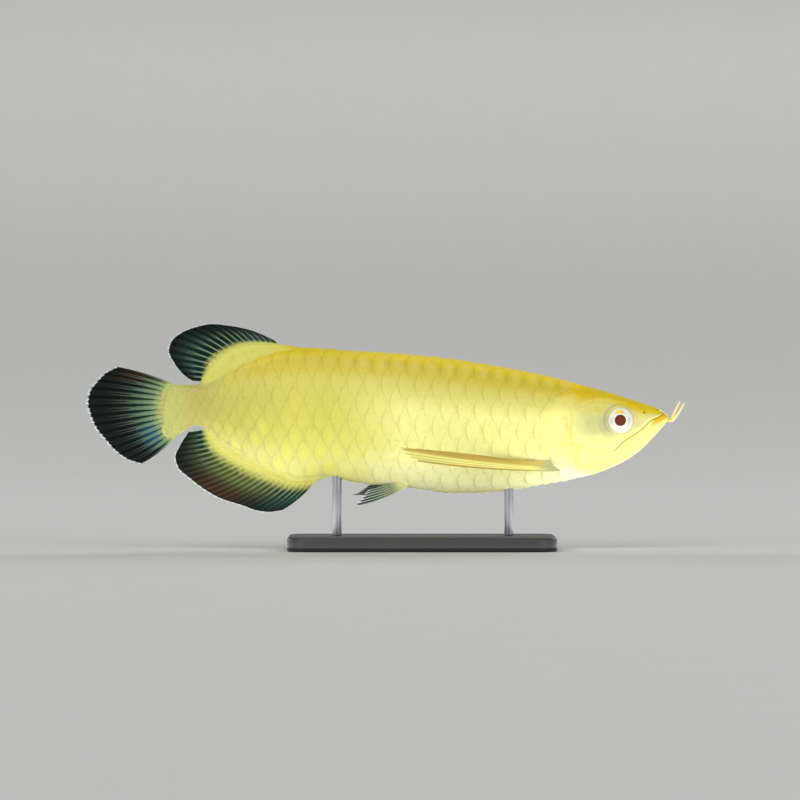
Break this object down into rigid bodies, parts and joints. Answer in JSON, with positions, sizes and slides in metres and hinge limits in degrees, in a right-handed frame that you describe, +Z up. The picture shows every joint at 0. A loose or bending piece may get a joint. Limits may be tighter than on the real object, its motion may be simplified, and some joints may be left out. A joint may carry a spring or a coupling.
{
  "type": "asian arowana",
  "caption": "Still model of a swimming asian arowana with gold scales, dark green fins and chin barbels, on a display stand.",
  "frame": {"origin": "on the floor under the stand's base, at the middle of the whole model's length and width", "axes": "+X towards the fish's snout, +Y to its left side, +Z up"},
  "size_m": [0.5162, 0.136, 0.195],
  "materials": {
    "scales": "wet, pearly scales in light yellow and gold",
    "head_skin": "wet skin in gold with silvery green cheeks",
    "pale_skin": "wet, pale cream skin",
    "fin": "dark blue green fin skin with pale rays",
    "gold_fin": "brownish gold fin skin",
    "eye": "glossy eye with a white and orange iris",
    "base": "satin black",
    "rod": "brushed steel"
  },
  "bodies": {
    "root": {"head": "head_skin", "lower_jaw": "pale_skin", "gill_cover_right": "head_skin", "gill_cover_left": "head_skin", "eye_right": "eye", "eye_left": "eye", "barbel_right": "pale_skin", "barbel_left": "pale_skin", "trunk": "scales", "tail": "scales", "dorsal_fin": "fin", "caudal_fin": "fin", "anal_fin": "fin", "pectoral_fin_right": "gold_fin", "pectoral_fin_left": "gold_fin", "pelvic_fin_right": "fin", "pelvic_fin_left": "fin", "stand_base": "base", "stand_rod_front": "rod", "stand_rod_rear": "rod"}
  },
  "joints": []
}
